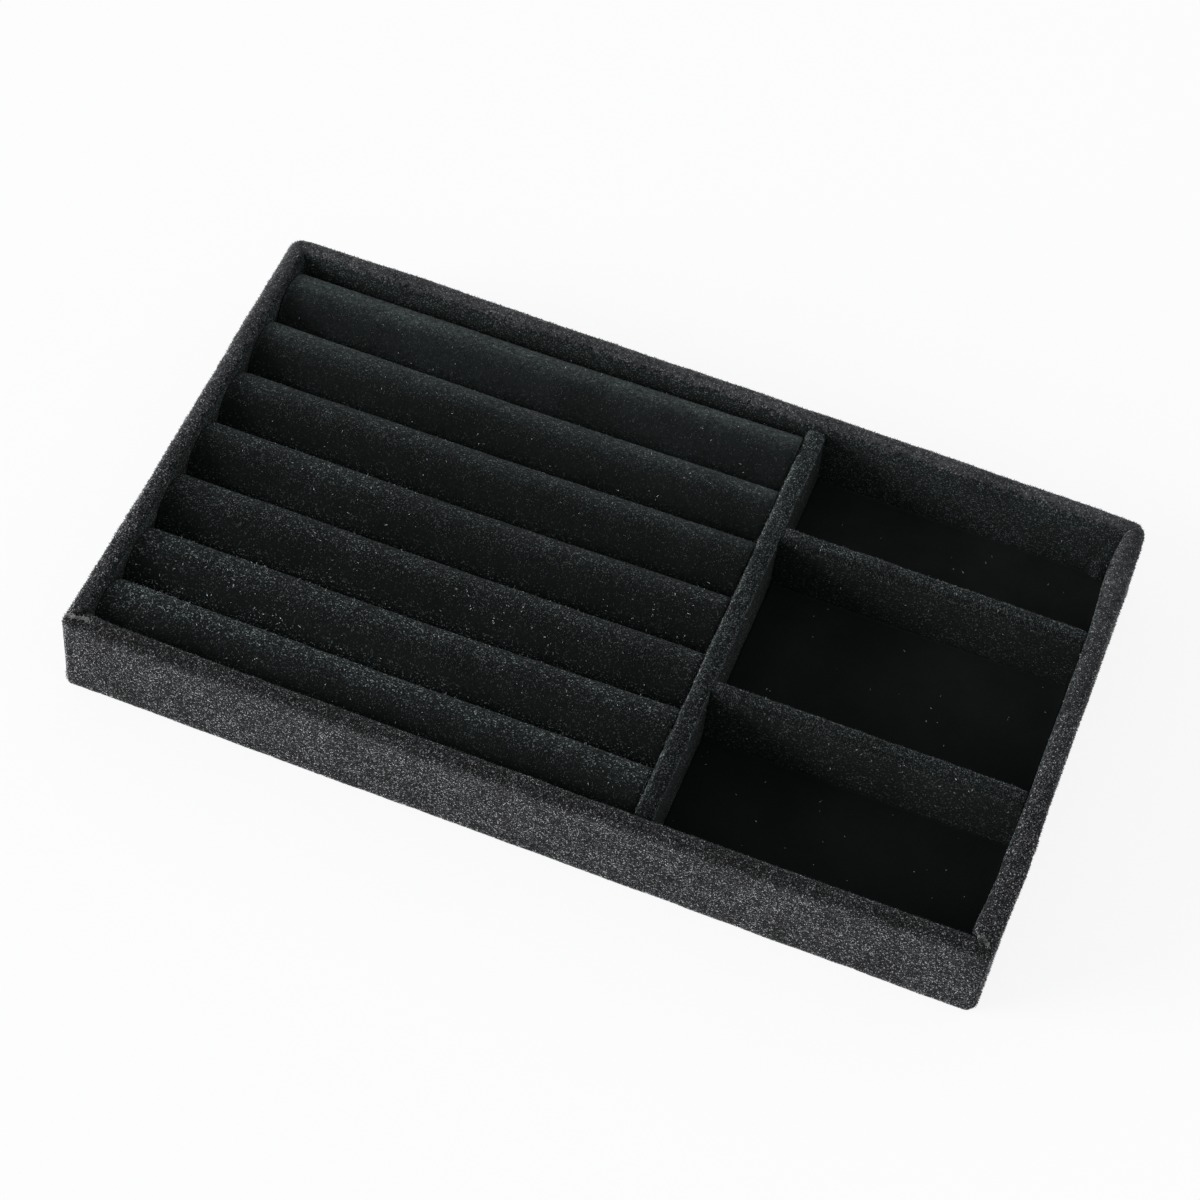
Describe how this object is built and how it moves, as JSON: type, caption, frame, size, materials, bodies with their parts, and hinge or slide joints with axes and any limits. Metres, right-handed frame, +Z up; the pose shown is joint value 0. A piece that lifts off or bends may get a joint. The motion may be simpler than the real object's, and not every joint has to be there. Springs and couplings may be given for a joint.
{
  "type": "jewelry tray",
  "caption": "Shallow velvet-covered jewelry tray: a lift-out pad of padded ring rolls on one side of a long divider, open compartments on the other.",
  "frame": {"origin": "middle of the underside sheet's lower face, on the surface that the tray stands on", "axes": "+X along the tray from the ring rolls to the compartments, +Y from the front wall to the back wall, +Z up"},
  "size_m": [0.242, 0.142, 0.027],
  "materials": {
    "velvet": "matte",
    "board": "matte",
    "card": "matte",
    "foam": "matte",
    "underside_sheet": "matte"
  },
  "bodies": {
    "tray": {"underside_sheet": "underside_sheet", "base_board": "board", "front_wall_board": "board", "back_wall_board": "board", "left_wall_board": "board", "right_wall_board": "board", "front_wall_velvet": "velvet", "back_wall_velvet": "velvet", "left_wall_velvet": "velvet", "right_wall_velvet": "velvet", "long_divider_card": "card", "long_divider_velvet": "velvet", "rear_divider_card": "card", "rear_divider_velvet": "velvet", "front_divider_card": "card", "front_divider_velvet": "velvet", "rear_floor_card": "card", "rear_floor_velvet": "velvet", "middle_floor_card": "card", "middle_floor_velvet": "velvet", "front_floor_card": "card", "front_floor_velvet": "velvet"},
    "ring_pad": {"ring_pad_card": "card", "ring_roll_1_foam": "foam", "ring_roll_1_velvet": "velvet", "ring_roll_2_foam": "foam", "ring_roll_2_velvet": "velvet", "ring_roll_3_foam": "foam", "ring_roll_3_velvet": "velvet", "ring_roll_4_foam": "foam", "ring_roll_4_velvet": "velvet", "ring_roll_5_foam": "foam", "ring_roll_5_velvet": "velvet", "ring_roll_6_foam": "foam", "ring_roll_6_velvet": "velvet", "ring_roll_7_foam": "foam", "ring_roll_7_velvet": "velvet"}
  },
  "joints": [
    {"name": "ring_pad_lift", "type": "slide", "parent": "tray", "child": "ring_pad", "axis": [0, 0, 1], "range_m": [0, 0.03]}
  ]
}
